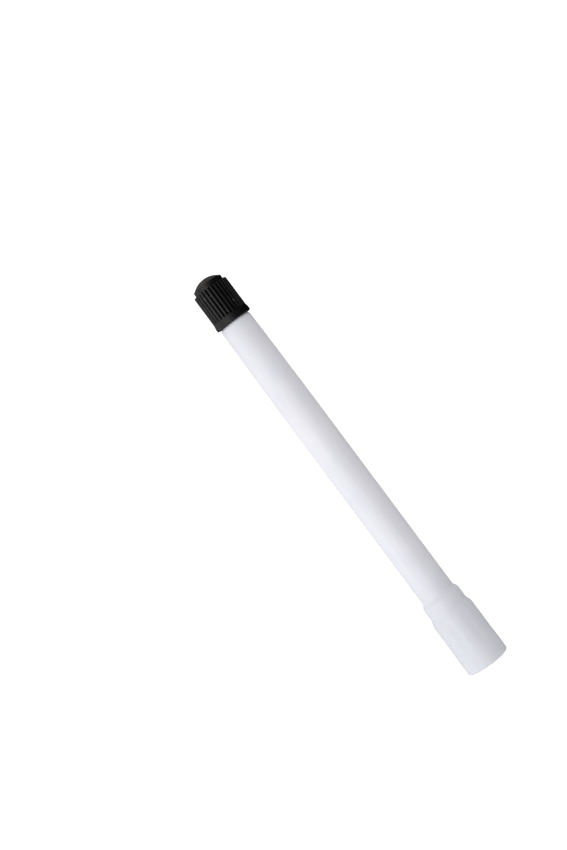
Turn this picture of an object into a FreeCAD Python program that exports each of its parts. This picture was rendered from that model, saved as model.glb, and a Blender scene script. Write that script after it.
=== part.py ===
import FreeCAD, Part
import math
import os
import re

import Sketcher

# Straight plastic tyre valve extension with its dust cap, in millimetres.
# It lies along X. The origin is the centre of the collar's mouth, which screws on a tyre valve,
# and the dust cap is at the +X end. Z is up.

# Driving dimensions. Lengths along X are measured from the collar's mouth unless a line says
# otherwise, and every radius is measured from the X axis.
SIZES = {
    # white tube and its collar, from the mouth to the tip
    "band_radius": 5.89,
    "band_length": 5.6,
    "band_slope": 0.3,
    "grip_radius": 5.84,
    "grip_end": 15.0,
    "grip_step": 1.4,
    "ring_radius": 5.27,
    "ring_end": 19.8,
    "ring_step": 1.1,
    "tube_radius": 4.58,
    "taper_start": 72.0,
    "tip_radius": 4.33,
    "tube_length": 105.06,
    "bore_radius": 2.3,
    "mouth_round": 0.6,
    "grip_round": 0.6,
    "ring_round": 0.5,
    "tip_round": 0.9,
    # low flats round the collar's grip
    "flat_count": 8,
    "flat_height": 5.75,
    "flat_width": 3.0,
    # tyre valve thread, 8V1: 32 turns an inch, 60 degree flanks
    "pitch": 0.79375,
    "male_crest": 3.86,
    "male_root": 3.39,
    "male_flat": 0.1,
    "female_crest": 3.5,
    "female_root": 3.95,
    "female_flat": 0.17,
    "flank_slope": math.tan(math.radians(30)),
    "thread_over": 0.04,
    # brass bush moulded into the collar, its thread left as a plain bore of the crest's radius
    "insert_recess": 0.3,
    "insert_radius": 4.85,
    "insert_step": 12.5,
    "insert_neck": 3.9,
    "insert_end": 16.5,
    "insert_chamfer": 0.6,
    "thread_end": 9.2,
    "gasket_seat": 11.0,
    "guide_radius": 2.9,
    "guide_seat": 14.4,
    "knurl_count": 24,
    "knurl_start": 1.6,
    "knurl_end": 11.4,
    "knurl_depth": 0.3,
    "lock_start": 5.6,
    "lock_width": 1.2,
    "lock_depth": 0.45,
    # washer that the tyre valve's rim seals on
    "gasket_start": 9.6,
    "gasket_radius": 3.9,
    "gasket_hole": 1.75,
    # spider that centres the rod
    "guide_start": 12.4,
    "guide_hole": 0.93,
    "guide_port_count": 6,
    "guide_port_radius": 0.5,
    "guide_port_circle": 1.95,
    # rod and its two ends
    "foot_start": 9.9,
    "foot_radius": 1.3,
    "foot_thickness": 1.0,
    "foot_stem": 0.85,
    "rod_start": 17.5,
    "socket_depth": 3.5,
    "neck_radius": 1.3,
    "fin_start": 22.0,
    "fin_end": 94.0,
    "fin_radius": 1.45,
    "fin_half_width": 0.4,
    "neck_overlap": 0.3,
    "rod_end": 108.9,
    "pin_stem": 0.8,
    "pin_flange": 2.15,
    "pin_flange_thickness": 0.6,
    "pin_end": 114.3,
    "pin_head": 1.1,
    "pin_head_thickness": 0.7,
    "pin_round": 0.25,
    "head_seal_radius": 2.3,
    # brass tip moulded into the tube
    "nipple_start": 96.5,
    "nipple_end": 115.0,
    "anchor_radius": 3.3,
    "neck_end": 105.5,
    "chamber_radius": 2.55,
    "throat_start": 110.6,
    "throat_end": 111.8,
    "throat_radius": 1.55,
    "mouth_radius": 2.35,
    "tip_chamfer": 0.45,
    "barb_count": 3,
    "barb_start": 98.2,
    "barb_width": 0.8,
    "barb_gap": 1.9,
    "barb_depth": 0.35,
    # return spring and its seat
    "seat_start": 97.4,
    "seat_end": 98.6,
    "seat_hole": 1.75,
    "spring_radius": 1.87,
    "wire_radius": 0.2,
    "spring_pitch": 1.1,
    # dust cap: skirt, ribbed band, ring and dome
    "cap_start": 105.1,
    "skirt_radius": 4.965,
    "skirt_end": 106.0,
    "flare_end": 106.9,
    "rib_radius": 4.81,
    "rib_end": 115.15,
    "cap_ring_radius": 4.075,
    "cap_ring_end": 116.4,
    "dome_radius": 3.85,
    "cap_end": 117.85,
    "cap_chamfer": 0.65,
    "cap_round": 0.15,
    "groove_count": 29,
    "groove_floor": 4.3,
    "groove_width": 0.5,
    "cap_thread_end": 114.05,
    "cap_inside_end": 116.1,
    # rubber disc in the cap
    "cap_seal_radius": 3.87,
}

# the pieces that are written, one file each
NODES = (
    "body_tube",
    "base_insert",
    "base_gasket",
    "lower_guide",
    "rod_foot",
    "push_rod",
    "head_pin",
    "head_seal",
    "return_spring",
    "spring_seat",
    "tip_nipple",
    "cap_seal",
    "dust_cap",
)

FIN_COUNT = 4  # fins of the rod, a quarter turn apart
TAPER_STEPS = 4  # cones that the tube's taper is made of, each steeper than the one before
UP = FreeCAD.Vector(0, 0, 1)  # the normal of a sketch's own plane
NEAR = 0.005  # how closely an edge has to match the place it is looked for at

doc = FreeCAD.newDocument("TyreValveExtension")
sheet = doc.addObject("Spreadsheet::Sheet", "Sizes")
for row, (alias, size) in enumerate(SIZES.items(), 1):
    sheet.set(f"A{row}", alias)
    sheet.set(f"B{row}", str(size))
    sheet.setAlias(f"B{row}", alias)
doc.recompute()


def linked(formula):
    """The formula with each dimension's name pointing at its cell."""
    return re.sub(r"[a-z_]+", lambda word: "Sizes." + word.group(), formula)


def value(formula):
    """The formula's number at the present dimensions."""
    return float(sheet.evalExpression(linked(formula)))


def bind(thing, setting, formula):
    thing.setExpression(setting, linked(formula))


def new_body(name):
    body = doc.addObject("PartDesign::Body", name)
    body.Label = name
    return body


def new_sketch(body, name, role, offset="0"):
    """A sketch on one of the body's own origin planes, moved along its normal by offset."""
    sketch = body.newObject("Sketcher::SketchObject", f"{body.Name}_{name}_sketch")
    plane = next(item for item in body.Origin.OriginFeatures if item.Role == role)
    sketch.AttachmentSupport = [(plane, "")]
    sketch.MapMode = "FlatFace"
    bind(sketch, "AttachmentOffset.Base.z", offset)
    return sketch


def dome_arc(rim, peak):
    """The arc from the peak, on the axis, back to the rim. Its centre is on the axis."""
    rise = peak.x - rim.x
    radius = (rise**2 + rim.y**2) / (2 * rise)
    centre = FreeCAD.Vector(peak.x - radius, 0, 0)
    spread = math.atan2(rim.y, rim.x - centre.x)
    return Part.ArcOfCircle(Part.Circle(centre, UP, radius), 0, spread)


def close_outline(sketch, corners, dome=None):
    """A closed outline whose corners are pairs of formulas, each driven by the sheet.

    Its sides are straight, but for the side whose number is dome: an arc centred on the axis.
    """
    count = len(corners)
    points = [FreeCAD.Vector(value(along), value(out), 0) for along, out in corners]
    for side, start in enumerate(points):
        end = points[(side + 1) % count]
        arc = side == dome
        sketch.addGeometry(dome_arc(start, end) if arc else Part.LineSegment(start, end))
    for side, point in enumerate(points):
        before = (side - 1) % count
        first = 2 if side == dome else 1
        last_before = 1 if before == dome else 2
        sketch.addConstraint(Sketcher.Constraint("Coincident", before, last_before, side, first))
        for direction, size, formula in zip("XY", point, corners[side]):
            rule = Sketcher.Constraint(f"Distance{direction}", -1, 1, side, first, size)
            number = sketch.addConstraint(rule)
            bind(sketch, f"Constraints[{number}]", formula)
    if dome is not None:
        sketch.addConstraint(Sketcher.Constraint("PointOnObject", dome, 3, -1))


def add_circle(sketch, along, out, radius):
    """A circle at a pair of formulas, each driven by the sheet."""
    centre = FreeCAD.Vector(value(along), value(out), 0)
    circle = sketch.addGeometry(Part.Circle(centre, UP, value(radius)))
    rules = (
        (Sketcher.Constraint("DistanceX", -1, 1, circle, 3, centre.x), along),
        (Sketcher.Constraint("DistanceY", -1, 1, circle, 3, centre.y), out),
        (Sketcher.Constraint("Radius", circle, value(radius)), radius),
    )
    for rule, formula in rules:
        bind(sketch, f"Constraints[{sketch.addConstraint(rule)}]", formula)


def turn(body, name, corners, dome=None, cut=False):
    """Turn an outline about the X axis, adding to the body or cutting from it."""
    sketch = new_sketch(body, name, "XY_Plane")
    close_outline(sketch, corners, dome)
    kind = "PartDesign::Groove" if cut else "PartDesign::Revolution"
    before = body.Shape.Volume if cut else 0
    feature = body.newObject(kind, f"{body.Name}_{name}")
    feature.Profile = sketch
    feature.ReferenceAxis = (sketch, ["H_Axis"])
    feature.Angle = 360
    doc.recompute()
    if cut and not feature.Shape.Volume < before:
        raise RuntimeError(f"{feature.Name} cuts nothing")
    return feature


def round_rims(body, name, rims, radius):
    """Round the circular edges at each (along, out) pair of formulas."""
    base = body.Tip
    places = [(value(along), value(out)) for along, out in rims]
    edges = []
    for number, edge in enumerate(base.Shape.Edges, 1):
        if edge.Degenerated or not isinstance(edge.Curve, Part.Circle):
            continue
        circle = (edge.Curve.Center.x, edge.Curve.Radius)
        if any(math.dist(circle, place) < NEAR for place in places):
            edges.append(f"Edge{number}")
    if len(edges) != len(places):
        raise RuntimeError(f"{name}: {len(edges)} edges found for {len(places)} rims")
    fillet = body.newObject("PartDesign::Fillet", f"{body.Name}_{name}")
    fillet.Base = (base, edges)
    bind(fillet, "Radius", radius)
    doc.recompute()


def cut_round(body, name, sketch, length, count):
    """Cut a sketch that stands across the axis along +X, and repeat the cut round the axis."""
    before = body.Shape.Volume
    pocket = body.newObject("PartDesign::Pocket", f"{body.Name}_{name}")
    pocket.Profile = sketch
    pocket.Reversed = True
    bind(pocket, "Length", length)
    pattern = body.newObject("PartDesign::PolarPattern", f"{body.Name}_{name}_ring")
    pattern.Originals = [pocket]
    pattern.Axis = (sketch, ["N_Axis"])
    pattern.Angle = 360
    bind(pattern, "Occurrences", count)
    body.Tip = pattern
    doc.recompute()
    once = before - pocket.Shape.Volume
    if not once > 0 or not before - pattern.Shape.Volume > once * (value(count) - 0.5):
        raise RuntimeError(f"{body.Name}_{name} cuts too little")


def add_helix(body, name, sketch, kind, pitch, length):
    """Sweep a sketch along a right-handed helix about the X axis."""
    helix = body.newObject(kind, f"{body.Name}_{name}")
    helix.Profile = sketch
    helix.ReferenceAxis = (sketch, ["H_Axis"])
    helix.Mode = "pitch-height-angle"
    helix.Angle = 0
    bind(helix, "Pitch", pitch)
    bind(helix, "Height", length)
    doc.recompute()


def cut_thread(body, start, length, root, flat, crest):
    """Cut a thread's groove: flat wide at its root, widening at 60 degrees past the crest."""
    before = body.Shape.Volume
    side = 1 if value(crest) > value(root) else -1
    edge = f"{crest} + {side} * thread_over"
    spread = f"{flat} / 2 + {side} * ({edge} - {root}) * flank_slope"
    sketch = new_sketch(body, "thread", "XY_Plane")
    corners = [
        (f"{start} - {flat} / 2", root),
        (f"{start} + {flat} / 2", root),
        (f"{start} + {spread}", edge),
        (f"{start} - ({spread})", edge),
    ]
    close_outline(sketch, corners)
    add_helix(body, "thread", sketch, "PartDesign::SubtractiveHelix", "pitch", length)
    if not body.Shape.Volume < before:
        raise RuntimeError(f"{body.Name}: the thread cuts nothing")


def make_tube_blank():
    """The white moulding's outside: band, grip with flats, ring, and a tube that narrows."""
    body = new_body("tube_blank")
    corners = [
        ("0", "bore_radius"),
        ("0", "band_radius"),
        ("band_length", "band_radius"),
        ("band_length + band_slope", "grip_radius"),
        ("grip_end", "grip_radius"),
        ("grip_end + grip_step", "ring_radius"),
        ("ring_end", "ring_radius"),
        ("ring_end + ring_step", "tube_radius"),
        ("taper_start", "tube_radius"),
    ]
    for step in range(1, TAPER_STEPS + 1):
        share = f"({step} / {TAPER_STEPS})"
        along = f"taper_start + (tube_length - taper_start) * {share}"
        corners.append((along, f"tube_radius - (tube_radius - tip_radius) * {share}^2"))
    corners.append(("tube_length", "bore_radius"))
    turn(body, "outside", corners)
    round_rims(body, "mouth_round", [("0", "band_radius")], "mouth_round")
    round_rims(body, "grip_round", [("grip_end", "grip_radius")], "grip_round")
    round_rims(body, "ring_round", [("ring_end", "ring_radius")], "ring_round")
    round_rims(body, "tip_round", [("tube_length", "tip_radius")], "tip_round")
    sketch = new_sketch(body, "flat", "YZ_Plane", "band_length + band_slope")
    corners = [
        ("flat_height", "-flat_width / 2"),
        ("band_radius + 1", "-flat_width / 2"),
        ("band_radius + 1", "flat_width / 2"),
        ("flat_height", "flat_width / 2"),
    ]
    close_outline(sketch, corners)
    bind(sketch, "AttachmentOffset.Rotation.Angle", "180 / flat_count")
    cut_round(body, "flat", sketch, "grip_end + grip_step - band_length", "flat_count")
    return body


def make_insert_blank():
    """The bush's outside, as the plastic grips it: a knurled barrel with a groove round it."""
    body = new_body("insert_blank")
    corners = [
        ("insert_recess", "0"),
        ("insert_recess", "insert_radius"),
        ("insert_step", "insert_radius"),
        ("insert_step", "insert_neck"),
        ("insert_end", "insert_neck"),
        ("insert_end", "0"),
    ]
    turn(body, "outside", corners)
    corners = [
        ("lock_start", "insert_radius - lock_depth"),
        ("lock_start", "insert_radius + 1"),
        ("lock_start + lock_width", "insert_radius + 1"),
        ("lock_start + lock_width", "insert_radius - lock_depth"),
    ]
    turn(body, "lock", corners, cut=True)
    sketch = new_sketch(body, "knurl", "YZ_Plane", "knurl_start")
    corners = [
        ("insert_radius - knurl_depth", "0"),
        ("insert_radius + knurl_depth", "-2 * knurl_depth"),
        ("insert_radius + knurl_depth", "2 * knurl_depth"),
    ]
    close_outline(sketch, corners)
    cut_round(body, "knurl", sketch, "knurl_end - knurl_start", "knurl_count")
    return body


def make_insert_core():
    """The bush's inside: bore, relief with the washer's seat, guide's seat and passage."""
    body = new_body("insert_core")
    corners = [
        ("-1", "0"),
        ("-1", "female_crest + insert_chamfer"),
        ("insert_recess", "female_crest + insert_chamfer"),
        ("insert_recess + insert_chamfer", "female_crest"),
        ("thread_end", "female_crest"),
        ("thread_end", "female_root"),
        ("gasket_seat", "female_root"),
        ("gasket_seat", "guide_radius"),
        ("guide_seat", "guide_radius"),
        ("guide_seat", "bore_radius"),
        ("insert_end + 1", "bore_radius"),
        ("insert_end + 1", "0"),
    ]
    turn(body, "inside", corners)
    return body


def make_tip_nipple():
    """The brass tip: an anchor with rings, a male thread, and a chamber with a seat in it."""
    body = new_body("tip_nipple")
    corners = [
        ("nipple_start", "chamber_radius"),
        ("nipple_start", "anchor_radius"),
        ("neck_end", "anchor_radius"),
        ("neck_end + male_crest - anchor_radius", "male_crest"),
        ("nipple_end - tip_chamfer", "male_crest"),
        ("nipple_end", "male_crest - tip_chamfer"),
        ("nipple_end", "mouth_radius"),
        ("throat_end", "mouth_radius"),
        ("throat_end", "throat_radius"),
        ("throat_start", "throat_radius"),
        ("throat_start", "chamber_radius"),
    ]
    turn(body, "outside", corners)
    for barb in range(int(value("barb_count"))):
        near = f"barb_start + {barb} * barb_gap"
        corners = [
            (near, "anchor_radius - barb_depth"),
            (near, "anchor_radius + 1"),
            (f"{near} + barb_width", "anchor_radius + 1"),
            (f"{near} + barb_width", "anchor_radius - barb_depth"),
        ]
        turn(body, f"barb_{barb}", corners, cut=True)
    cut_thread(
        body,
        "cap_start",
        "nipple_end - cap_start + pitch",
        "male_root",
        "male_flat",
        "male_crest",
    )
    return body


def make_base_insert(blank, core):
    """The finished bush: the knurled blank with its inside taken out."""
    bush = doc.addObject("Part::Cut", "base_insert")
    bush.Label = "base_insert"
    bush.Base = blank
    bush.Tool = core
    doc.recompute()


def make_body_tube(blank, insert, nipple):
    """The white moulding, with the brass ends' outsides taken out of its plastic."""
    anchor = new_body("nipple_plug")
    corners = [
        ("nipple_start", "0"),
        ("nipple_start", "anchor_radius - barb_depth"),
        ("tube_length + 1", "anchor_radius - barb_depth"),
        ("tube_length + 1", "0"),
    ]
    turn(anchor, "core", corners)
    mouth = new_body("mouth_plug")
    corners = [
        ("-1", "0"),
        ("-1", "insert_radius"),
        ("insert_recess", "insert_radius"),
        ("insert_recess", "0"),
    ]
    turn(mouth, "core", corners)
    metal = doc.addObject("Part::MultiFuse", "metal_ends")
    metal.Shapes = [insert, mouth, nipple, anchor]
    tube = doc.addObject("Part::Cut", "body_tube")
    tube.Label = "body_tube"
    tube.Base = blank
    tube.Tool = metal
    doc.recompute()


def make_base_gasket():
    body = new_body("base_gasket")
    corners = [
        ("gasket_start", "gasket_hole"),
        ("gasket_start", "gasket_radius"),
        ("gasket_seat", "gasket_radius"),
        ("gasket_seat", "gasket_hole"),
    ]
    turn(body, "washer", corners)


def make_lower_guide():
    body = new_body("lower_guide")
    corners = [
        ("guide_start", "guide_hole"),
        ("guide_start", "guide_radius"),
        ("guide_seat", "guide_radius"),
        ("guide_seat", "guide_hole"),
    ]
    turn(body, "ring", corners)
    sketch = new_sketch(body, "port", "YZ_Plane", "guide_start - 1")
    add_circle(sketch, "guide_port_circle", "0", "guide_port_radius")
    cut_round(body, "port", sketch, "guide_seat - guide_start + 2", "guide_port_count")


def make_rod_foot():
    """The pin at the rod's lower end: a button on a stem that is pressed into the rod."""
    body = new_body("rod_foot")
    corners = [
        ("foot_start", "0"),
        ("foot_start", "foot_radius"),
        ("foot_start + foot_thickness", "foot_radius"),
        ("foot_start + foot_thickness", "foot_stem"),
        ("rod_start + socket_depth", "foot_stem"),
        ("rod_start + socket_depth", "0"),
    ]
    turn(body, "pin", corners)
    round_rims(body, "button_round", [("foot_start", "foot_radius")], "pin_round")


def make_push_rod():
    """The long rod: four fins between two round necks with a socket in each."""
    body = new_body("push_rod")
    sketch = new_sketch(body, "fins", "YZ_Plane", "fin_start")
    fin = [
        ("fin_radius", "-fin_half_width"),
        ("fin_radius", "fin_half_width"),
        ("fin_half_width", "fin_half_width"),
    ]
    corners = []
    for _ in range(FIN_COUNT):
        corners += fin
        fin = [(f"-({up})", across) for across, up in fin]
    close_outline(sketch, corners)
    pad = body.newObject("PartDesign::Pad", "push_rod_fins")
    pad.Profile = sketch
    bind(pad, "Length", "fin_end - fin_start")
    doc.recompute()
    corners = [
        ("rod_start", "foot_stem"),
        ("rod_start", "neck_radius"),
        ("fin_start + neck_overlap", "neck_radius"),
        ("fin_start + neck_overlap", "0"),
        ("rod_start + socket_depth", "0"),
        ("rod_start + socket_depth", "foot_stem"),
    ]
    turn(body, "lower_neck", corners)
    corners = [
        ("fin_end - neck_overlap", "0"),
        ("fin_end - neck_overlap", "neck_radius"),
        ("rod_end", "neck_radius"),
        ("rod_end", "pin_stem"),
        ("rod_end - socket_depth", "pin_stem"),
        ("rod_end - socket_depth", "0"),
    ]
    turn(body, "upper_neck", corners)


def make_head_pin():
    """The pin at the tip: a stem in the rod, a flange under the seal, and a small head."""
    body = new_body("head_pin")
    corners = [
        ("rod_end - socket_depth", "0"),
        ("rod_end - socket_depth", "pin_stem"),
        ("rod_end", "pin_stem"),
        ("rod_end", "pin_flange"),
        ("rod_end + pin_flange_thickness", "pin_flange"),
        ("rod_end + pin_flange_thickness", "pin_stem"),
        ("pin_end - pin_head_thickness", "pin_stem"),
        ("pin_end - pin_head_thickness", "pin_head"),
        ("pin_end", "pin_head"),
        ("pin_end", "0"),
    ]
    turn(body, "pin", corners)
    round_rims(body, "head_round", [("pin_end", "pin_head")], "pin_round")


def make_head_seal():
    body = new_body("head_seal")
    corners = [
        ("rod_end + pin_flange_thickness", "pin_stem"),
        ("rod_end + pin_flange_thickness", "head_seal_radius"),
        ("throat_start", "head_seal_radius"),
        ("throat_start", "pin_stem"),
    ]
    turn(body, "ring", corners)


def make_spring_seat():
    body = new_body("spring_seat")
    corners = [
        ("seat_start", "seat_hole"),
        ("seat_start", "chamber_radius"),
        ("seat_end", "chamber_radius"),
        ("seat_end", "seat_hole"),
    ]
    turn(body, "ring", corners)


def make_return_spring():
    """A round wire along a helix, from its seat to the underside of the pin's flange."""
    body = new_body("return_spring")
    sketch = new_sketch(body, "wire", "XY_Plane")
    add_circle(sketch, "seat_end + wire_radius", "spring_radius", "wire_radius")
    length = "rod_end - seat_end - 2 * wire_radius"
    add_helix(body, "coil", sketch, "PartDesign::AdditiveHelix", "spring_pitch", length)


def make_cap_seal():
    body = new_body("cap_seal")
    corners = [
        ("nipple_end", "0"),
        ("nipple_end", "cap_seal_radius"),
        ("cap_inside_end", "cap_seal_radius"),
        ("cap_inside_end", "0"),
    ]
    turn(body, "disc", corners)


def make_dust_cap():
    """The black cap: skirt, ribbed band, plain ring and dome, threaded inside."""
    body = new_body("dust_cap")
    corners = [
        ("cap_start", "female_crest + cap_chamfer"),
        ("cap_start", "skirt_radius"),
        ("skirt_end", "skirt_radius"),
        ("flare_end", "rib_radius"),
        ("rib_end", "rib_radius"),
        ("rib_end", "cap_ring_radius"),
        ("cap_ring_end", "cap_ring_radius"),
        ("cap_ring_end", "dome_radius"),
        ("cap_end", "0"),
        ("cap_inside_end", "0"),
        ("cap_inside_end", "female_root"),
        ("cap_thread_end", "female_root"),
        ("cap_thread_end", "female_crest"),
        ("cap_start + cap_chamfer", "female_crest"),
    ]
    turn(body, "shell", corners, dome=7)
    rims = [("cap_start", "skirt_radius"), ("cap_ring_end", "cap_ring_radius")]
    round_rims(body, "rim_round", rims, "cap_round")
    sketch = new_sketch(body, "groove", "YZ_Plane", "flare_end")
    corners = [
        ("groove_floor", "-groove_width / 2"),
        ("rib_radius + 1", "-groove_width / 2"),
        ("rib_radius + 1", "groove_width / 2"),
        ("groove_floor", "groove_width / 2"),
    ]
    close_outline(sketch, corners)
    cut_round(body, "groove", sketch, "rib_end - flare_end + 1", "groove_count")
    cut_thread(
        body,
        "cap_start - pitch / 2",
        "cap_thread_end - cap_start + 1.5 * pitch",
        "female_root",
        "female_flat",
        "female_crest",
    )


def write_nodes():
    """Check every object, then write each piece to its own file."""
    for thing in doc.Objects:
        if {"Invalid", "Error"} & set(thing.State):
            raise RuntimeError(f"{thing.Name} failed: {thing.State}")
    pieces = {node: doc.getObjectsByLabel(node)[0] for node in NODES}
    for node, piece in pieces.items():
        shape = piece.Shape
        if shape.isNull() or not shape.isValid() or len(shape.Solids) != 1:
            raise RuntimeError(f"{node}: not one valid solid")
    os.makedirs("parts", exist_ok=True)
    for node, piece in pieces.items():
        piece.Shape.exportStep(f"parts/{node}.step")
        print(f"{node}: {piece.Shape.Volume:.1f} mm3, {len(piece.Shape.Faces)} faces")


tube_blank = make_tube_blank()
insert_blank = make_insert_blank()
insert_core = make_insert_core()
tip_nipple = make_tip_nipple()
make_base_insert(insert_blank, insert_core)
make_body_tube(tube_blank, insert_blank, tip_nipple)
make_base_gasket()
make_lower_guide()
make_rod_foot()
make_push_rod()
make_head_pin()
make_head_seal()
make_spring_seat()
make_return_spring()
make_cap_seal()
make_dust_cap()
write_nodes()
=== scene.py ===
import math

import bmesh
import bpy
import numpy as np
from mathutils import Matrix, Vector


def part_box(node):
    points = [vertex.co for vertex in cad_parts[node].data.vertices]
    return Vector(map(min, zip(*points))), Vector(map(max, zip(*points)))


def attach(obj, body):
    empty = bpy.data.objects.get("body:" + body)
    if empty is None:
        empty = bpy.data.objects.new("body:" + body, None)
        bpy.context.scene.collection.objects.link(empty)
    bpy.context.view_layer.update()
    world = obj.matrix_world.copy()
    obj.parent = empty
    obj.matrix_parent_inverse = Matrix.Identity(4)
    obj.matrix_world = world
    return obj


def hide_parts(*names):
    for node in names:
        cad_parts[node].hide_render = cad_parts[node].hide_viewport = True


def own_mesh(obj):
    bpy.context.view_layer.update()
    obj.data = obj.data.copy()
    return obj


# White tyre valve extension lying along X, with its mouth at x = 0 and its black dust cap at +X.
# Sizes are in millimetres, and are turned into metres where Blender is given them.
MM = 0.001
TURN = 2 * math.pi
SHARP_ANGLE = 32  # degrees between faces, from which an edge stays sharp

# white tube
BAND_RADIUS = 5.89
BAND_END = 5.6
BAND_SLOPE = 0.3
BAND_ROUND = 0.25
MOUTH_ROUND = 0.6
MOUTH_HOLE_ROUND = 0.12
GRIP_RADIUS = 5.84
GRIP_END = 15.0
GRIP_STEP = 1.4
GRIP_ROUND = 0.6
GRIP_ROWS = (7.5, 10.5, 13.5)  # rows of points between the grip's ends
RING_RADIUS = 5.27
RING_END = 19.8
RING_STEP = 1.1
RING_ROUND = 0.5
RING_ROW = 17.8
TUBE_RADIUS = 4.58
TUBE_FOOT_ROUND = 0.6
TUBE_ROW = 2.0  # spacing of the rows of points along the tube
TAPER_START = 72.0
TIP_RADIUS = 4.33
TIP_ROUND = 0.9
TUBE_END = 105.06
FLAT_COUNT = 8
FLAT_HEIGHT = 5.75
FLAT_SOFT = 0.02  # how far a flat's edges are rounded off
FLAT_FADE = 0.3  # height below a flat over which it fades out
NICK_DEPTH = 0.16
NICK_WIDTH = math.radians(4)
NICK_REACH = 0.8  # how far along the tube a nick is felt
NICK_EDGE = 0.5  # how far out from the bush a nick gets to its full depth
NICK_PLACES = (62, 84, 201, 318)  # degrees round the mouth's rim, from +Y towards +Z
INSERT_RADIUS = 4.85
INSERT_STEP = 12.5
INSERT_NECK = 3.9
INSERT_END = 16.5
BORE_RADIUS = 2.3
ANCHOR_START = 96.5
ANCHOR_RADIUS = 3.3
TUBE_COLUMNS = 256

# dust cap
CAP_START = 105.1
SKIRT_RADIUS = 4.965
SKIRT_END = 106.0
SKIRT_ROUND = 0.2
SKIRT_LIP_ROUND = 0.15
FLARE_END = 106.9
RIB_RADIUS = 4.81
RIB_END = 115.15
RIB_END_ROUND = 0.2
RIB_ROWS = 8
RIB_ROWS_START = FLARE_END + 0.05
RIB_ROWS_END = RIB_END - 0.22
CAP_RING_RADIUS = 4.075
CAP_RING_END = 116.4
CAP_RING_ROUND = 0.15
CAP_RING_FOOT_ROUND = 0.12
DOME_RADIUS = 3.85
DOME_ROWS = 14
CAP_END = 117.85
RIB_COUNT = 29
GROOVE_FLOOR = 4.3
GROOVE_HALF = 0.25
RIB_SOFT = 0.2  # width over which a groove's side falls
GROOVE_SIDE = (-0.5, -0.35, -0.2, -0.05, 0.1, 0.25, 0.4, 0.6)  # its columns, in RIB_SOFT
CAP_THREAD_END = 114.05
CAP_INSIDE_END = 116.1
CAP_CORNER = 0.2  # rounding at the far end of the cap's inside
CAP_CORNER_MIDDLE = 0.06
CAP_MOUTH_CHAMFER = 0.65
INNER_COLUMNS = 4  # columns of the cap's inside for each of its ribs

# brass bush
INSERT_RECESS = 0.3
INSERT_CHAMFER = 0.6
INSERT_EDGE = 0.15
CHAMFER_EDGE = 0.05  # the chamfer's edge is rounded off by this much along the axis
CHAMFER_EDGE_OUT = 0.08  # and by this much outwards
CHAMFER_EDGE_MIDDLE = 0.02
THREAD_END = 9.2
GUIDE_RADIUS = 2.9
GUIDE_END = 14.4
BUSH_COLUMNS = 160

# female threads of the cap and the bush
PITCH = 0.79375
CREST_RADIUS = 3.5
ROOT_RADIUS = 3.95
ROOT_FLAT = 0.17
FLANK = math.tan(math.radians(30))
THREAD_SOFT = 0.02

# rubber parts
GASKET_HOLE = 1.75
GASKET_RADIUS = 3.9
GASKET_START = 9.6
GASKET_END = 11.0
SEAL_RADIUS = 2.3
SEAL_HOLE = 0.8
SEAL_START = 109.5
SEAL_END = 110.6
DISC_START = 115.0
DISC_END = 116.1
DISC_RADIUS = 3.87
PRINT_INNER = 2.2  # the ring that the tip has pressed into the disc
PRINT_OUTER = 3.45
PRINT_SLOPE = 0.15
PRINT_DEPTH = 0.08
PRINT_ROUND = 0.1
RUBBER_ROUND = 0.15
RUBBER_COLUMNS = 128

# return spring
SPRING_START = 98.6
SPRING_END = 108.9
SPRING_RADIUS = 1.87
WIRE_RADIUS = 0.2
SPRING_TURNS = 9.0
SPRING_STEPS = 48  # steps in each turn
CLOSED_PITCH = 2.2  # pitch of the closed end turns, in wire radii
EASE_TURN = 0.9  # where the open turns start to ease in, in turns from either end
EASE_SHARE = 0.35  # share of the open turns' rise that is eased
WIRE_SIDES = 16

# marks on the plastic and the brass
COOL_LENGTH = 16.0  # the collar's cooler tone fades out over this much of the tube
DULL_LENGTH = 16.0  # the tip's duller tone fades in over this much of the tube
WEAR_DEPTH = 0.05  # how far below a rib's top its wear goes
MATT_DEPTH = 0.06  # how far below a rib's top a groove starts to look matt
MATT_HEIGHT = 0.1  # how far above its floor a groove is wholly matt
RIB_MARKS_END = RIB_END - 0.02
DOME_MARKS = (CAP_RING_END - 0.05, CAP_RING_END + 0.15)
PAINTED_LIGHT_EDGE = (1.8, 3.2)  # the painted light fades in between these, from the axis towards +Y
# painted shade: the brass goes near black where it shows in the gap between the tube's tip and the
# cap
PAINTED_SHADE_PLACE = TUBE_END + 0.1
PAINTED_SHADE_EDGE = (0.6, 0.35)  # the painted shade fades in between these, measured from its place

# colours
WHITE_LOW = (0.76, 0.76, 0.815, 1)
WHITE_HIGH = (0.815, 0.815, 0.855, 1)
WHITE_COLLAR = (0.67, 0.685, 0.735, 1)
WHITE_TIP = (0.69, 0.69, 0.745, 1)
WHITE_SCUFF = (0.42, 0.42, 0.47, 1)
DARK_SPECK = (0.16, 0.15, 0.16, 1)
PALE_SPECK = (0.93, 0.93, 0.95, 1)
BLACK_LOW = (0.002, 0.002, 0.0024, 1)
BLACK_HIGH = (0.0045, 0.0045, 0.0052, 1)
BLACK_WORN = (0.03, 0.03, 0.031, 1)
# a pale haze for the dome, painted paler than haze alone to stand in for the light the dome
# catches
BLACK_HAZE_AND_PAINTED_LIGHT = (0.07, 0.064, 0.06, 1)
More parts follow.
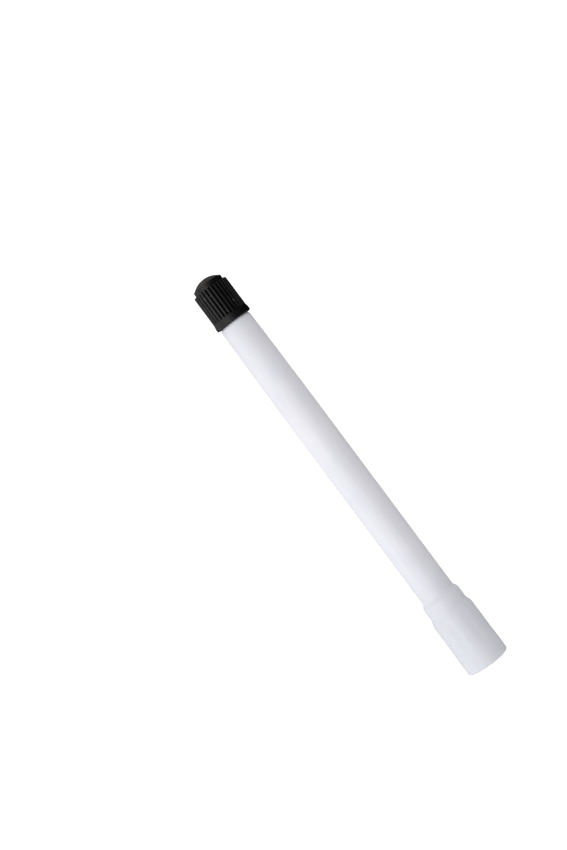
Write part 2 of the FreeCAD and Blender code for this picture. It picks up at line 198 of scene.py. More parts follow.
# painted light: a paler black for the cap's side towards the +Y light, most of all in its grooves
BLACK_PAINTED_LIGHT = (0.04, 0.039, 0.04, 1)
DUST = (0.2, 0.19, 0.18, 1)
LINT = (0.12, 0.12, 0.13, 1)
BRASS_BRIGHT = (0.83, 0.6, 0.27, 1)
BRASS_TARNISH = (0.56, 0.37, 0.16, 1)
BRASS_RING = (0.9, 0.72, 0.4, 1)
# near-black painted shade for the brass in the gap between the tube's tip and the cap
PAINTED_SHADE = (0.012, 0.01, 0.009, 1)
STEEL_BRIGHT = (0.58, 0.58, 0.58, 1)
STEEL_DULL = (0.4, 0.39, 0.38, 1)
RUBBER_BLACK = (0.011, 0.011, 0.012, 1)
RUBBER_BLOOM = (0.035, 0.034, 0.033, 1)
NYLON_PALE = (0.74, 0.72, 0.64, 1)
NYLON_DEEP = (0.66, 0.63, 0.53, 1)
FLOOR_LOW = (0.79, 0.79, 0.79, 1)
FLOOR_HIGH = (0.81, 0.81, 0.81, 1)
WHITE = (1, 1, 1, 1)

# camera
CAMERA_PLACE = (77.18, 5.6, 420.0)
CAMERA_TURN = math.radians(233.3)
CAMERA_LENS = 72.0
CAMERA_NEAR = 10.0

# floor
FLOOR_HALF = 6000.0
FLOOR_GAP = 0.03
FLOOR_GLOW = 0.4
FLOOR_SEEN_GLOW = 0.8  # the glow that the camera sees, which hides most of the shadow

# light
PANEL_SIZE = (500.0, 350.0)
PANEL_TARGET = (62.0, 0.0, 0.0)
PANEL_OFFSET = (0.0, 260.0, 340.0)
PANEL_POWER = 0.4  # watts
# shiny faces see a dimmed sky below the first angle and the whole of it above the second
CARD_EDGE = (math.radians(-20), math.radians(15))
CARD_LEVEL = 0.1  # share of the sky's brightness that is left where it is dimmed
# the sky's brightness by the angle from straight up, in degrees, positive towards +Y
SKY_LEVELS = (
    (-179, 0.02),
    (-145, 0.02),
    (-127, 0.04),
    (-112, 0.06),
    (-97, 0.14),
    (-82, 0.24),
    (-52, 0.4),
    (-37, 0.66),
    (-22, 0.92),
    (-7, 0.98),
    (7, 1.0),
    (22, 1.0),
    (52, 0.82),
    (82, 0.9),
    (112, 0.8),
    (127, 0.5),
    (142, 0.24),
    (165, 0.03),
)

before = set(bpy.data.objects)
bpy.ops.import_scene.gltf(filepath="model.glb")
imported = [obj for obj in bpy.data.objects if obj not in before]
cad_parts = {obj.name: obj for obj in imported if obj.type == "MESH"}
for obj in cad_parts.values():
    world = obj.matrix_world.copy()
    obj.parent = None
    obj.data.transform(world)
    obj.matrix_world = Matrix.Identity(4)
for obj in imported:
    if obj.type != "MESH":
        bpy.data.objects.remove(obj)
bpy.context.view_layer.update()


# ---------------------------------------------------------------- meshes


def finish_mesh(mesh):
    """Merge what coincides, turn the faces outwards, and shade smooth between sharp edges."""
    shell = bmesh.new()
    shell.from_mesh(mesh)
    bmesh.ops.remove_doubles(shell, verts=shell.verts, dist=1e-8)
    bmesh.ops.dissolve_degenerate(shell, edges=shell.edges, dist=1e-8)
    bmesh.ops.recalc_face_normals(shell, faces=shell.faces)
    shell.to_mesh(mesh)
    shell.free()
    mesh.shade_smooth()
    mesh.set_sharp_from_angle(angle=math.radians(SHARP_ANGLE))


def add_piece(name, points, faces, body, nodes):
    """A mesh piece that rides on a body and stands for CAD nodes. Points are in millimetres."""
    mesh = bpy.data.meshes.new(name)
    mesh.from_pydata(np.asarray(points) * MM, [], faces)
    finish_mesh(mesh)
    piece = bpy.data.objects.new(name, mesh)
    bpy.context.scene.collection.objects.link(piece)
    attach(piece, body)
    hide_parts(*nodes)
    return piece


def rounded(corners, steps=5):
    """Points of an outline, with an arc at each (along, out, rounding) corner that has one."""
    points = []
    for index, (along, out, rounding) in enumerate(corners):
        corner = Vector((along, out))
        if not rounding:
            points.append(tuple(corner))
            continue
        before = (Vector(corners[index - 1][:2]) - corner).normalized()
        after = (Vector(corners[(index + 1) % len(corners)][:2]) - corner).normalized()
        half = before.angle(after) / 2
        centre = corner + (before + after).normalized() * rounding / math.sin(half)
        reach = rounding / math.tan(half)
        start = corner + before * reach - centre
        end = corner + after * reach - centre
        for step in range(steps + 1):
            spoke = start.lerp(end, step / steps).normalized() * rounding
            points.append(tuple(centre + spoke))
    return points


def around(along, out, angles):
    """Points at every pair of a row's place and a column's angle. out may differ by column."""
    along, out, angles = np.broadcast_arrays(along, out, angles)
    return np.stack([along, out * np.cos(angles), out * np.sin(angles)], axis=-1)


def grid_faces(rows, columns, first=0, closed=False, wrapped=True):
    """Quads of a grid whose columns go round the axis, and whose last row may meet the first."""
    faces = []
    for row in range(rows if closed else rows - 1):
        low = first + row * columns
        high = first + (row + 1) % rows * columns
        for column in range(columns if wrapped else columns - 1):
            after = (column + 1) % columns
            faces.append((low + column, low + after, high + after, high + column))
    return faces


def turned_rows(outline, angles):
    """Points of an outline turned about the X axis through the angles."""
    rows = np.array(outline)
    return around(rows[:, :1], rows[:, 1:], angles)


def lathe(outline, columns, closed=True):
    """Points and faces of an outline turned about the X axis."""
    rows = turned_rows(outline, np.arange(columns) * TURN / columns)
    return rows.reshape(-1, 3), grid_faces(len(rows), columns, closed=closed)


def smooth_step(value):
    """0 below 0, 1 above 1, and a smooth rise between them."""
    value = np.clip(value, 0, 1)
    return value * value * (3 - 2 * value)


def thread_radius(along, angles, start, chamfer):
    """Radius inside a right-handed female thread that begins behind a chamfer at start."""
    phase = (along - CAP_START) / PITCH - angles / TURN
    centre_gap = np.abs(phase % 1 - 0.5) * PITCH
    depth = np.clip((centre_gap - ROOT_FLAT / 2) / FLANK, 0, ROOT_RADIUS - CREST_RADIUS)
    cone = CREST_RADIUS + chamfer - (along - start)
    return np.maximum(ROOT_RADIUS - depth, cone)


def thread_rows(angles, start, end, chamfer):
    """Points of a female thread from start to end, in rows that follow its helix."""
    flank = (ROOT_RADIUS - CREST_RADIUS) * FLANK
    corners = np.array([ROOT_FLAT / 2, ROOT_FLAT / 2 + flank])
    edges = np.sort(np.concatenate([corners - THREAD_SOFT, corners + THREAD_SOFT]))
    marks = np.concatenate([-edges[::-1], edges]) + PITCH / 2
    first = math.floor((start - CAP_START) / PITCH) - 1
    last = math.ceil((end - CAP_START) / PITCH) + 1
    lines = np.concatenate([marks + PITCH * turn for turn in range(first, last)])
    along = CAP_START + lines[:, None] + PITCH * angles / TURN
    along = np.clip(along, start, end)
    return around(along, thread_radius(along, angles, start, chamfer), angles)


# ---------------------------------------------------------------- white tube


def tube_outside():
    """(along, out) points of the tube's outside, from the mouth's rim to the tip's end face."""
    taper = np.arange(RING_END + RING_STEP + TUBE_ROW, TUBE_END - TUBE_ROW, TUBE_ROW)
    share = np.clip((taper - TAPER_START) / (TUBE_END - TAPER_START), 0, 1)
    narrowing = TUBE_RADIUS - (TUBE_RADIUS - TIP_RADIUS) * share**2
    corners = [
        (0.0, INSERT_RADIUS, MOUTH_HOLE_ROUND),
        (0.0, BAND_RADIUS, MOUTH_ROUND),
        (BAND_END, BAND_RADIUS, BAND_ROUND),
        (BAND_END + BAND_SLOPE, GRIP_RADIUS, BAND_ROUND),
        *[(along, GRIP_RADIUS, 0) for along in GRIP_ROWS],
        (GRIP_END, GRIP_RADIUS, GRIP_ROUND),
        (GRIP_END + GRIP_STEP, RING_RADIUS, RING_ROUND),
        (RING_ROW, RING_RADIUS, 0),
        (RING_END, RING_RADIUS, RING_ROUND),
        (RING_END + RING_STEP, TUBE_RADIUS, TUBE_FOOT_ROUND),
        *[(along, out, 0) for along, out in zip(taper, narrowing)],
        (TUBE_END, TIP_RADIUS, TIP_ROUND),
        (TUBE_END, ANCHOR_RADIUS, 0),
        (ANCHOR_START, ANCHOR_RADIUS, 0),
        (ANCHOR_START, BORE_RADIUS, 0),
        (INSERT_END, BORE_RADIUS, 0),
        (INSERT_END, INSERT_NECK, 0),
        (INSERT_STEP, INSERT_NECK, 0),
        (INSERT_STEP, INSERT_RADIUS, 0),
    ]
    return rounded(corners)


def make_tube():
    """The white moulding, with low flats round its collar's grip and nicks in its mouth."""
    rows = np.array(tube_outside())
    angles = np.arange(TUBE_COLUMNS) * TURN / TUBE_COLUMNS
    spacing = TURN / FLAT_COUNT
    offset = angles % spacing - spacing / 2
    along, out = rows[:, :1], rows[:, 1:]
    above = (out - FLAT_HEIGHT / np.cos(offset)) / FLAT_SOFT
    depth = np.logaddexp(above, 0) * FLAT_SOFT
    depth *= smooth_step((along - BAND_END) / BAND_SLOPE)
    depth *= smooth_step((out - FLAT_HEIGHT + FLAT_FADE) / FLAT_FADE)
    rim = smooth_step(1 - along / NICK_REACH)
    rim = rim * smooth_step((out - INSERT_RADIUS) / NICK_EDGE)
    gaps = (angles[:, None] - np.radians(NICK_PLACES)) / NICK_WIDTH
    along = along + rim * NICK_DEPTH * np.exp(-(gaps**2)).sum(axis=1)
    points = around(along, out - depth, angles).reshape(-1, 3)
    faces = grid_faces(len(rows), TUBE_COLUMNS, closed=True)
    return add_piece(
        "tube_moulding", points, faces, "extension", ["body_tube"]
    )


# ---------------------------------------------------------------- dust cap


def rib_angles():
    """Angles of the cap's columns, close together at the sides of its grooves."""
    soft = RIB_SOFT / RIB_RADIUS
    half = GROOVE_HALF / RIB_RADIUS
    period = TURN / RIB_COUNT
    side = half + soft * np.array(GROOVE_SIDE)
    offsets = np.concatenate([-side[::-1], [0.0], side, [period / 2]])
    return (np.arange(RIB_COUNT)[:, None] * period + offsets).ravel()


def cap_notch(angles):
    """How far each column is sunk, from 0 on a rib to 1 on a groove's floor."""
    period = TURN / RIB_COUNT
    offset = np.abs((angles + period / 2) % period - period / 2)
    soft = RIB_SOFT / RIB_RADIUS
    return smooth_step((GROOVE_HALF / RIB_RADIUS - offset) / soft + 0.5)


def cap_outside():
    """(along, out, grooved) rows of the cap's outside, from its mouth to the dome's peak."""
    skirt = rounded(
        [
            (CAP_START, CREST_RADIUS, 0),
            (CAP_START, SKIRT_RADIUS, SKIRT_LIP_ROUND),
            (SKIRT_END, SKIRT_RADIUS, SKIRT_ROUND),
            (FLARE_END, RIB_RADIUS, 0),
        ]
    )[1:]
    ribs = np.linspace(RIB_ROWS_START, RIB_ROWS_END, RIB_ROWS)
    rise = CAP_END - CAP_RING_END
    sphere = (rise**2 + DOME_RADIUS**2) / (2 * rise)
    spread = math.asin(DOME_RADIUS / sphere)
    dome = [
        (CAP_END - sphere + sphere * math.cos(angle), sphere * math.sin(angle))
        for angle in np.linspace(spread, 0, DOME_ROWS)
    ]
    shoulder = rounded(
        [
            (FLARE_END, RIB_RADIUS, 0),
            (RIB_END, RIB_RADIUS, RIB_END_ROUND),
            (RIB_END, CAP_RING_RADIUS, CAP_RING_FOOT_ROUND),
            (CAP_RING_END, CAP_RING_RADIUS, CAP_RING_ROUND),
            (CAP_RING_END, DOME_RADIUS, 0),
        ]
    )[1:-1]
    return np.array(
        [(along, out, 0) for along, out in skirt]
        + [(along, RIB_RADIUS, 1) for along in ribs]
        + [(along, out, 1) for along, out in shoulder]
        + [(along, out, 0) for along, out in dome]
    )


def make_cap():
    """The black cap: a ribbed shell with a domed end, threaded inside."""
    angles = rib_angles()
    rows = cap_outside()
    along, out, grooved = rows[:, :1], rows[:, 1:2], rows[:, 2:]
    depth = np.maximum(out - GROOVE_FLOOR, 0) * grooved
    outside = around(along, out - depth * cap_notch(angles), angles)
    inner_columns = RIB_COUNT * INNER_COLUMNS + 1
    inner_angles = np.linspace(0, TURN, inner_columns)
    thread = thread_rows(inner_angles, CAP_START, CAP_THREAD_END, CAP_MOUTH_CHAMFER)
    end = [
        (CAP_THREAD_END, ROOT_RADIUS),
        (CAP_INSIDE_END - CAP_CORNER, ROOT_RADIUS),
        (CAP_INSIDE_END - CAP_CORNER_MIDDLE, ROOT_RADIUS - CAP_CORNER_MIDDLE),
        (CAP_INSIDE_END, ROOT_RADIUS - CAP_CORNER),
        (CAP_INSIDE_END, 0.0),
    ]
    inside = np.concatenate([thread, turned_rows(end, inner_angles)])
    first = outside.shape[0] * outside.shape[1]
    points = np.concatenate([outside.reshape(-1, 3), inside.reshape(-1, 3)])
    faces = grid_faces(len(rows), len(angles))
    faces += grid_faces(len(inside), inner_columns, first=first, wrapped=False)
    per_rib = len(angles) // RIB_COUNT
    middle = per_rib // 2 - 1
    for rib in range(RIB_COUNT):  # the face round the mouth
        outer = [(rib * per_rib + middle + step) % len(angles) for step in range(per_rib + 1)]
        inner = [first + rib * INNER_COLUMNS + step for step in range(INNER_COLUMNS + 1)]
        faces.append(outer + inner[::-1])
    return add_piece("cap_shell", points, faces, "cap", ["dust_cap"])


# ---------------------------------------------------------------- brass bush


def make_bush():
    """The brass bush in the collar, with the thread that screws on a tyre valve."""
    angles = np.linspace(0, TURN, BUSH_COLUMNS + 1)
    mouth = CREST_RADIUS + INSERT_CHAMFER
    outside = [
        (INSERT_END, BORE_RADIUS),
        (INSERT_END, INSERT_NECK),
        (INSERT_STEP, INSERT_NECK),
        (INSERT_STEP, INSERT_RADIUS),
        (INSERT_RECESS + INSERT_EDGE, INSERT_RADIUS),
        (INSERT_RECESS, INSERT_RADIUS - INSERT_EDGE),
        (INSERT_RECESS, mouth + CHAMFER_EDGE_OUT),
        (INSERT_RECESS + CHAMFER_EDGE_MIDDLE, mouth + CHAMFER_EDGE_MIDDLE),
    ]
    start = INSERT_RECESS + CHAMFER_EDGE
    thread = thread_rows(angles, start, THREAD_END, INSERT_CHAMFER)
    inside = [
        (THREAD_END, ROOT_RADIUS),
        (GASKET_END, ROOT_RADIUS),
        (GASKET_END, GUIDE_RADIUS),
        (GUIDE_END, GUIDE_RADIUS),
        (GUIDE_END, BORE_RADIUS),
    ]
    rows = np.concatenate([turned_rows(outside, angles), thread, turned_rows(inside, angles)])
    faces = grid_faces(len(rows), len(angles), closed=True, wrapped=False)
    points = rows.reshape(-1, 3)
    return add_piece("collar_bush", points, faces, "extension", ["base_insert"])


# ---------------------------------------------------------------- rubber parts and spring


def ring_outline(start, end, hole, radius):
    """The outline of a rubber ring, with its four edges rounded off."""
    return rounded(
        [
            (start, hole, RUBBER_ROUND),
            (start, radius, RUBBER_ROUND),
            (end, radius, RUBBER_ROUND),
            (end, hole, RUBBER_ROUND),
        ]
    )


def disc_outline():
    """Half the outline of the cap's disc, from the axis out and back, with the tip's print."""
    return rounded(
        [
            (DISC_START, 0.0, 0),
            (DISC_START, PRINT_INNER, PRINT_ROUND),
            (DISC_START + PRINT_DEPTH, PRINT_INNER + PRINT_SLOPE, PRINT_ROUND),
            (DISC_START + PRINT_DEPTH, PRINT_OUTER - PRINT_SLOPE, PRINT_ROUND),
            (DISC_START, PRINT_OUTER, PRINT_ROUND),
            (DISC_START, DISC_RADIUS, RUBBER_ROUND),
            (DISC_END, DISC_RADIUS, RUBBER_ROUND),
            (DISC_END, 0.0, 0),
        ]
    )


def make_rings():
    """The washer in the collar, the seal on the pin, and the disc in the cap."""
    washer = ring_outline(GASKET_START, GASKET_END, GASKET_HOLE, GASKET_RADIUS)
    seal = ring_outline(SEAL_START, SEAL_END, SEAL_HOLE, SEAL_RADIUS)
    made = []
    for name, outline, closed, body, node in (
        ("base_washer", washer, True, "extension", "base_gasket"),
        ("pin_seal", seal, True, "rod", "head_seal"),
        ("cap_disc", disc_outline(), False, "seal", "cap_seal"),
    ):
        points, faces = lathe(outline, RUBBER_COLUMNS, closed=closed)
        made.append(add_piece(name, points, faces, body, [node]))
    return made


def make_spring():
    """A wire spring with a closed turn at each end."""
    steps = int(SPRING_TURNS * SPRING_STEPS)
    share = np.linspace(0, 1, steps + 1)
    turn = share * SPRING_TURNS
    closed = CLOSED_PITCH * WIRE_RADIUS
    middle = SPRING_END - SPRING_START - 2 * WIRE_RADIUS - 2 * closed
    eased = smooth_step((turn - EASE_TURN) / (SPRING_TURNS - 2 * EASE_TURN))
    even = np.clip((turn - 1) / (SPRING_TURNS - 2), 0, 1)
    rise = EASE_SHARE * eased + (1 - EASE_SHARE) * even
    ends = closed * (np.clip(turn, 0, 1) + np.clip(turn - SPRING_TURNS + 1, 0, 1))
    along = SPRING_START + WIRE_RADIUS + ends + middle * rise
    angle = turn * TURN
    centre = around(along, SPRING_RADIUS, angle)
    heading = np.gradient(centre, axis=0)
    heading /= np.linalg.norm(heading, axis=1, keepdims=True)
    outward = around(0.0, 1.0, angle)
    sideways = np.cross(heading, outward)
    sides = np.arange(WIRE_SIDES) * TURN / WIRE_SIDES
    across, over = np.cos(sides)[:, None], np.sin(sides)[:, None]
    ring = outward[:, None] * across + sideways[:, None] * over
    points = (centre[:, None] + WIRE_RADIUS * ring).reshape(-1, 3)
    faces = grid_faces(steps + 1, WIRE_SIDES)
    faces.append(list(range(WIRE_SIDES)))
    faces.append(list(range(steps * WIRE_SIDES, (steps + 1) * WIRE_SIDES)))
    spring = add_piece("wire_spring", points, faces, "extension", ["return_spring"])
    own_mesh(spring)
    return spring


# ---------------------------------------------------------------- materials


def add_node(tree, kind, inputs=None, **settings):
    """A node with its settings, and its inputs linked or set."""
    made = tree.nodes.new(kind)
    for name, value in settings.items():
        setattr(made, name, value)
    for name, value in (inputs or {}).items():
        if isinstance(value, bpy.types.NodeSocket):
            tree.links.new(value, made.inputs[name])
        else:
            made.inputs[name].default_value = value
    return made


class Surface:
    """A material on the Principled shader whose patterns are set in millimetres."""

    def __init__(self, name, **constants):
        self.material = bpy.data.materials.new(name)
        self.material.use_nodes = True
        self.tree = self.material.node_tree
        self.shader = self.tree.nodes["Principled BSDF"]
        for socket, value in constants.items():
            self.shader.inputs[socket.replace("_", " ")].default_value = value
        self.place = add_node(self.tree, "ShaderNodeTexCoord").outputs["Object"]

    def stretched(self, scale):
        """Places in millimetres, times a factor on each axis."""
        node = add_node(self.tree, "ShaderNodeMapping", {"Vector": self.place})
        node.inputs["Scale"].default_value = [factor / MM for factor in scale]
        return node.outputs["Vector"]

    def math(self, operation, first, second=0.0):
        """The value that a math operation makes of one or two values."""
        node = add_node(self.tree, "ShaderNodeMath", {0: first, 1: second}, operation=operation)
        return node.outputs["Value"]

    def times(self, first, *others):
        """The product of values."""
        for other in others:
            first = self.math("MULTIPLY", first, other)
        return first

    def plus(self, value, added, share):
        """The value with a share of another added to it."""
        return self.math("ADD", value, self.times(added, share))

    def noise(self, scale, detail=4.0, roughness=0.55, stretch=(1, 1, 1)):
        """Soft noise, with scale waves to a millimetre."""
        node = add_node(
            self.tree,
            "ShaderNodeTexNoise",
            {
                "Vector": self.stretched(stretch),
                "Scale": scale,
                "Detail": detail,
                "Roughness": roughness,
            },
        )
        return node.outputs["Fac"]

    def span(self, value, low, high, new_low=0.0, new_high=1.0):
        """The value's place between low and high, taken to the new range."""
        node = add_node(
            self.tree,
            "ShaderNodeMapRange",
            {
                "Value": value,
                "From Min": low,
                "From Max": high,
                "To Min": new_low,
                "To Max": new_high,
            },
        )
        return node.outputs["Result"]

    def specks(self, scale, size, share, stretch=(1, 1, 1)):
        """1 in small spots, each in a cell of its own, in that share of the cells."""
        cells = add_node(
            self.tree,
            "ShaderNodeTexVoronoi",
            {"Vector": self.stretched(stretch), "Scale": scale, "Randomness": 1.0},
        )
        spot = self.span(cells.outputs["Distance"], size, size * 0.55)
        chance = add_node(
            self.tree, "ShaderNodeSeparateColor", {"Color": cells.outputs["Color"]}
        )
        chosen = self.math("LESS_THAN", chance.outputs["Red"], share)
        return self.times(spot, chosen)

    def rings(self, scale, detail=3.0):
        """Noise that is the same all the way round the axis, as turning marks are."""
        place = add_node(self.tree, "ShaderNodeCombineXYZ", {"X": self.along(), "Y": self.out()})
        node = add_node(
            self.tree,
            "ShaderNodeTexNoise",
            {"Vector": place.outputs["Vector"], "Scale": scale, "Detail": detail},
        )
        return node.outputs["Fac"]

    def out(self):
        """Distance from the X axis in millimetres."""
        node = add_node(
            self.tree,
            "ShaderNodeVectorMath",
            {0: self.stretched((0, 1, 1))},
            operation="LENGTH",
        )
        return node.outputs["Value"]

    def place_on(self, axis):
        """The place along one axis in millimetres."""
        apart = add_node(self.tree, "ShaderNodeSeparateXYZ", {"Vector": self.stretched((1, 1, 1))})
        return apart.outputs[axis]

    def along(self):
        """The place along the object, from its mouth."""
        return self.place_on("X")

    def across(self):
        """The place across the object, towards the light."""
        return self.place_on("Y")

    def mix(self, factor, first, second):
        """Colours mixed by a factor."""
        node = add_node(self.tree, "ShaderNodeMix", data_type="RGBA")
        for index, value in ((0, factor), (6, first), (7, second)):
            if isinstance(value, bpy.types.NodeSocket):
                self.tree.links.new(value, node.inputs[index])
            else:
                node.inputs[index].default_value = value
        return node.outputs[2]

    def stain(self, colour, amount, share, stain):
        """The colour with a share of a stain over it, wherever the amount is 1."""
        return self.mix(self.times(amount, share), colour, stain)

    def link(self, socket, value):
        """Let a value that differs over the surface drive one of the shader's sockets."""
        self.tree.links.new(value, self.shader.inputs[socket])

    def paint(self, colour, roughness, height, strength, depth):
        """Give the shader its colour, roughness and fine relief, whose depth is in millimetres."""
        bump = add_node(
            self.tree,
            "ShaderNodeBump",
            {"Height": height, "Strength": strength, "Distance": depth * MM},
        )
        self.link("Base Color", colour)
        self.link("Roughness", roughness)
        self.link("Normal", bump.outputs["Normal"])
        return self.material


def white_plastic():
    """Moulded white plastic: faint flow marks along the tube, scuffs, dark and pale specks."""
    surface = Surface(
        "white_plastic",
        IOR=1.46,
        Subsurface_Weight=0.3,
        Subsurface_Radius=(1.0, 0.95, 0.9),
        Subsurface_Scale=0.5 * MM,
        Specular_IOR_Level=0.4,
    )
    flow = surface.noise(0.9, stretch=(0.06, 1, 1))
    cloud = surface.noise(0.12, detail=2)
    tone = surface.times(surface.math("ADD", flow, cloud), 0.5)
    colour = surface.mix(surface.span(tone, 0.35, 0.65), WHITE_LOW, WHITE_HIGH)
    along = surface.along()
    cool = surface.span(along, RING_END + COOL_LENGTH, GRIP_END, 0, 0.7)
    colour = surface.mix(cool, colour, WHITE_COLLAR)
    dull = surface.span(along, TUBE_END - DULL_LENGTH, TUBE_END, 0, 0.6)
    colour = surface.mix(dull, colour, WHITE_TIP)
    scuff = surface.noise(1.1, detail=6, roughness=0.7, stretch=(0.5, 1.6, 1.6))
    scuff = surface.span(scuff, 0.66, 0.8)
    colour = surface.stain(colour, scuff, 0.35, WHITE_SCUFF)
    colour = surface.stain(colour, surface.specks(0.42, 0.055, 0.5), 0.6, DARK_SPECK)
    colour = surface.stain(colour, surface.specks(0.3, 0.1, 0.5), 0.4, PALE_SPECK)
    grain = surface.noise(6.0, detail=5)
    roughness = surface.plus(surface.span(grain, 0.3, 0.7, 0.36, 0.46), scuff, 0.15)
    return surface.paint(colour, roughness, surface.plus(grain, flow, 1.5), 0.35, 0.02)


def black_plastic():
    """Black moulded plastic: pale dust, worn ribs, matt grooves between them, a shinier dome."""
    surface = Surface("black_plastic", IOR=1.46)
    patch = surface.noise(0.8, detail=5, roughness=0.65)
    colour = surface.mix(surface.span(patch, 0.35, 0.7), BLACK_LOW, BLACK_HIGH)
    out, along = surface.out(), surface.along()
    ribbed = surface.times(
        surface.math("GREATER_THAN", along, FLARE_END),
        surface.math("LESS_THAN", along, RIB_MARKS_END),
    )
    sunk = surface.span(out, RIB_RADIUS - MATT_DEPTH, GROOVE_FLOOR + MATT_HEIGHT)
    sunk = surface.times(sunk, ribbed)
    domed = surface.span(along, *DOME_MARKS)
    worn = surface.times(
        surface.span(surface.noise(2.2, detail=6, roughness=0.7), 0.35, 0.65),
        surface.span(out, RIB_RADIUS - WEAR_DEPTH, RIB_RADIUS),
        ribbed,
    )
    colour = surface.stain(colour, worn, 0.6, BLACK_WORN)
    # haze on the dome, partly real haze and partly painted light, since the dome catches more
    # light from +X and above
    haze_and_painted_light = surface.times(surface.span(patch, 0.3, 0.65, 0.5, 1.0), domed)
    colour = surface.mix(haze_and_painted_light, colour, BLACK_HAZE_AND_PAINTED_LIGHT)
    # painted light: the side towards the +Y light is painted paler, most of all in the grooves,
    # which catch that light
    bloom = surface.times(
        surface.span(surface.across(), *PAINTED_LIGHT_EDGE),
        surface.span(patch, 0.25, 0.6, 0.6, 1.0),
        surface.math("ADD", sunk, 0.15),
    )
    colour = surface.mix(bloom, colour, BLACK_PAINTED_LIGHT)
    colour = surface.stain(colour, surface.specks(0.7, 0.13, 0.4), 0.8, DUST)
    lint = surface.specks(0.55, 0.06, 0.45, stretch=(0.35, 1, 1))
    colour = surface.stain(colour, lint, 0.4, LINT)
    grain = surface.noise(9.0, detail=5)
    roughness = surface.plus(surface.span(grain, 0.3, 0.7, 0.28, 0.4), sunk, 0.25)
    shine = surface.plus(surface.span(sunk, 0, 1, 0.4, 0.05), domed, 0.3)
    surface.link("Specular IOR Level", shine)
    return surface.paint(colour, roughness, grain, 0.4, 0.02)


def brass():
    """Turned brass: fine rings round the axis, patches of dull tarnish, painted shade in the neck.
    """
    surface = Surface("brass", Metallic=1.0)
    rings = surface.rings(9.0)
    tarnish = surface.noise(0.7, detail=6, roughness=0.65)
    colour = surface.mix(surface.span(tarnish, 0.4, 0.7), BRASS_BRIGHT, BRASS_TARNISH)
    colour = surface.stain(colour, rings, 0.3, BRASS_RING)
    # painted shade: the brass is darkened where it shows in the narrow gap between the tube's tip
    # and the cap
    away = surface.math("ABSOLUTE", surface.math("SUBTRACT", surface.along(), PAINTED_SHADE_PLACE))
    colour = surface.mix(surface.span(away, *PAINTED_SHADE_EDGE), colour, PAINTED_SHADE)
    roughness = surface.plus(surface.span(tarnish, 0.35, 0.75, 0.2, 0.42), rings, 0.1)
    return surface.paint(colour, roughness, rings, 0.5, 0.015)


def steel():
    """Drawn steel wire and turned steel: grey, with fine rings and small dull spots."""
    surface = Surface("steel", Metallic=1.0)
    spots = surface.noise(2.5, detail=5)
    colour = surface.mix(surface.span(spots, 0.4, 0.7), STEEL_BRIGHT, STEEL_DULL)
    roughness = surface.span(spots, 0.35, 0.7, 0.22, 0.4)
    return surface.paint(colour, roughness, surface.rings(14.0), 0.4, 0.01)


def rubber():
    """Matt black rubber with a fine grain and a grey bloom."""
    surface = Surface("rubber", IOR=1.5, Specular_IOR_Level=0.35)
    bloom = surface.noise(1.4, detail=6, roughness=0.7)
    colour = surface.mix(surface.span(bloom, 0.4, 0.75), RUBBER_BLACK, RUBBER_BLOOM)
    grain = surface.noise(14.0, detail=4)
    roughness = surface.span(grain, 0.3, 0.7, 0.62, 0.8)
    return surface.paint(colour, roughness, grain, 0.5, 0.02)


def natural_nylon():
    """Uncoloured nylon: waxy and off-white, with faint flow marks."""
    surface = Surface(
        "natural_nylon",
        IOR=1.53,
        Subsurface_Weight=0.35,
        Subsurface_Radius=(1.0, 0.9, 0.7),
        Subsurface_Scale=0.6 * MM,
    )
    flow = surface.noise(1.2, detail=5, stretch=(0.15, 1, 1))
    colour = surface.mix(surface.span(flow, 0.35, 0.7), NYLON_PALE, NYLON_DEEP)
    grain = surface.noise(10.0)
    roughness = surface.span(grain, 0.3, 0.7, 0.35, 0.5)
    return surface.paint(colour, roughness, grain, 0.3, 0.015)


def dress_nodes(materials):
    """Give the CAD nodes that stay shown their material and smooth shading."""
    finishes = {
        "tip_nipple": "brass",
        "head_pin": "brass",
        "rod_foot": "brass",
        "spring_seat": "steel",
        "push_rod": "natural_nylon",
        "lower_guide": "natural_nylon",
    }
    for node, finish in finishes.items():
        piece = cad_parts[node]
        piece.data.materials.clear()
        piece.data.materials.append(materials[finish])
        piece.data.shade_smooth()
        piece.data.set_sharp_from_angle(angle=math.radians(SHARP_ANGLE))


# ---------------------------------------------------------------- light, floor and camera


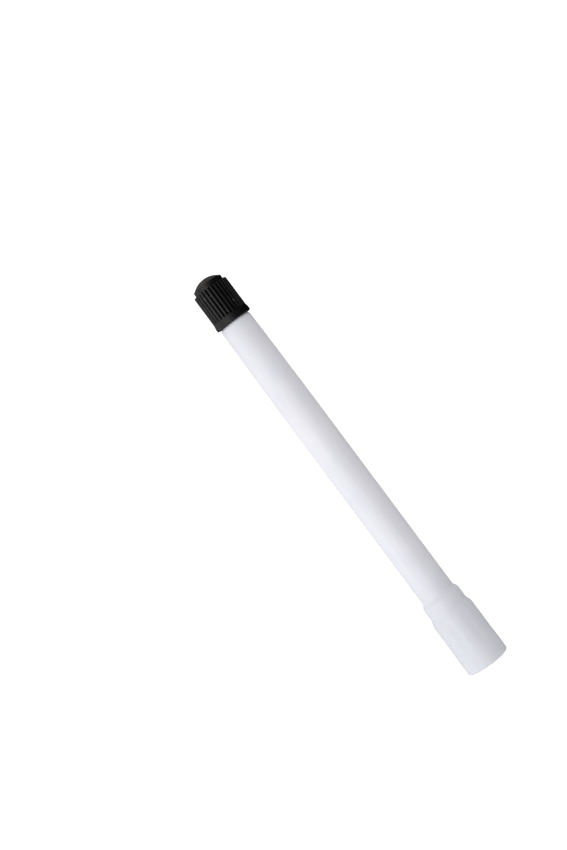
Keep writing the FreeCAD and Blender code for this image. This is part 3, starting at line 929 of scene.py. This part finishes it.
def make_world():
    """White for the camera, and for all else a soft sky, brightest overhead and towards +Y."""
    world = bpy.data.worlds.new("studio")
    bpy.context.scene.world = world
    world.use_nodes = True
    tree = world.node_tree
    tree.nodes.clear()
    place = add_node(tree, "ShaderNodeTexCoord").outputs["Generated"]
    apart = add_node(tree, "ShaderNodeSeparateXYZ", {"Vector": place})
    lean = add_node(
        tree,
        "ShaderNodeMath",
        {0: apart.outputs["Y"], 1: apart.outputs["Z"]},
        operation="ARCTAN2",
    )
    share = add_node(
        tree,
        "ShaderNodeMapRange",
        {"Value": lean.outputs["Value"], "From Min": -math.pi, "From Max": math.pi},
    )
    ramp = add_node(tree, "ShaderNodeValToRGB", {"Fac": share.outputs["Result"]})
    stops = ramp.color_ramp.elements
    while len(stops) > 1:
        stops.remove(stops[-1])
    stops[0].position = 0
    for degrees, level in SKY_LEVELS:
        stops.new((degrees + 180) / 360).color = (level, level, level, 1)
    # shiny faces see little of the side away from the light, as behind a black card
    rays = add_node(tree, "ShaderNodeLightPath")
    card = add_node(
        tree,
        "ShaderNodeMapRange",
        {
            "Value": lean.outputs["Value"],
            "From Min": CARD_EDGE[0],
            "From Max": CARD_EDGE[1],
            "To Min": 1 - CARD_LEVEL,
            "To Max": 0.0,
        },
    )
    hidden = add_node(
        tree,
        "ShaderNodeMath",
        {0: card.outputs["Result"], 1: rays.outputs["Is Glossy Ray"]},
        operation="MULTIPLY",
    )
    left = add_node(
        tree,
        "ShaderNodeMath",
        {0: 1.0, 1: hidden.outputs["Value"]},
        operation="SUBTRACT",
    )
    studio = add_node(
        tree,
        "ShaderNodeBackground",
        {"Color": ramp.outputs["Color"], "Strength": left.outputs["Value"]},
    )
    pale = add_node(tree, "ShaderNodeBackground", {"Color": WHITE, "Strength": 1.0})
    chosen = add_node(
        tree,
        "ShaderNodeMixShader",
        {
            "Fac": rays.outputs["Is Camera Ray"],
            1: studio.outputs["Background"],
            2: pale.outputs["Background"],
        },
    )
    add_node(tree, "ShaderNodeOutputWorld", {"Surface": chosen.outputs["Shader"]})


def make_light():
    """One large soft panel above the +Y side."""
    light = bpy.data.lights.new("panel", "AREA")
    light.shape = "RECTANGLE"
    light.size, light.size_y = (side * MM for side in PANEL_SIZE)
    light.energy = PANEL_POWER
    panel = bpy.data.objects.new("panel", light)
    target = Vector(PANEL_TARGET) * MM
    panel.location = target + Vector(PANEL_OFFSET) * MM
    panel.rotation_euler = (target - panel.location).to_track_quat("-Z", "Y").to_euler()
    bpy.context.scene.collection.objects.link(panel)


def make_floor():
    """A wide pale floor that the collar and the cap's skirt both rest on."""
    tube_low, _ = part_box("body_tube")
    cap_low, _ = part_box("dust_cap")
    collar_end = BAND_END * MM
    slope = (cap_low.z - tube_low.z) / (cap_low.x - collar_end)
    level = tube_low.z - FLOOR_GAP * MM - collar_end * slope
    half = FLOOR_HALF * MM
    corners = [
        (x, y, level + x * slope)
        for x, y in ((-half, -half), (half, -half), (half, half), (-half, half))
    ]
    mesh = bpy.data.meshes.new("floor")
    mesh.from_pydata(corners, [], [(0, 1, 2, 3)])
    floor = bpy.data.objects.new("floor", mesh)
    bpy.context.scene.collection.objects.link(floor)
    surface = Surface("floor", Roughness=0.9, Specular_IOR_Level=0.1, Emission_Color=WHITE)
    surface.link(
        "Base Color", surface.mix(surface.noise(0.35, detail=3), FLOOR_LOW, FLOOR_HIGH)
    )
    seen = add_node(surface.tree, "ShaderNodeLightPath").outputs["Is Camera Ray"]
    glow = surface.span(seen, 0, 1, FLOOR_GLOW, FLOOR_SEEN_GLOW)
    surface.link("Emission Strength", glow)
    mesh.materials.append(surface.material)
    floor.visible_glossy = False


def make_camera():
    """A camera that looks straight down, turned so that the cap is at the top left."""
    camera = bpy.data.objects.new("camera", bpy.data.cameras.new("camera"))
    camera.data.lens = CAMERA_LENS
    camera.data.clip_start = CAMERA_NEAR * MM
    camera.location = Vector(CAMERA_PLACE) * MM
    camera.rotation_euler = (0, 0, CAMERA_TURN)
    bpy.context.scene.collection.objects.link(camera)
    bpy.context.scene.camera = camera
    bpy.context.scene.view_settings.view_transform = "Standard"


finishes = (white_plastic, black_plastic, brass, steel, rubber, natural_nylon)
materials = {finish.__name__: finish() for finish in finishes}
make_tube().data.materials.append(materials["white_plastic"])
make_cap().data.materials.append(materials["black_plastic"])
make_bush().data.materials.append(materials["brass"])
make_spring().data.materials.append(materials["steel"])
for ring in make_rings():
    ring.data.materials.append(materials["rubber"])
dress_nodes(materials)
make_world()
make_light()
make_floor()
make_camera()
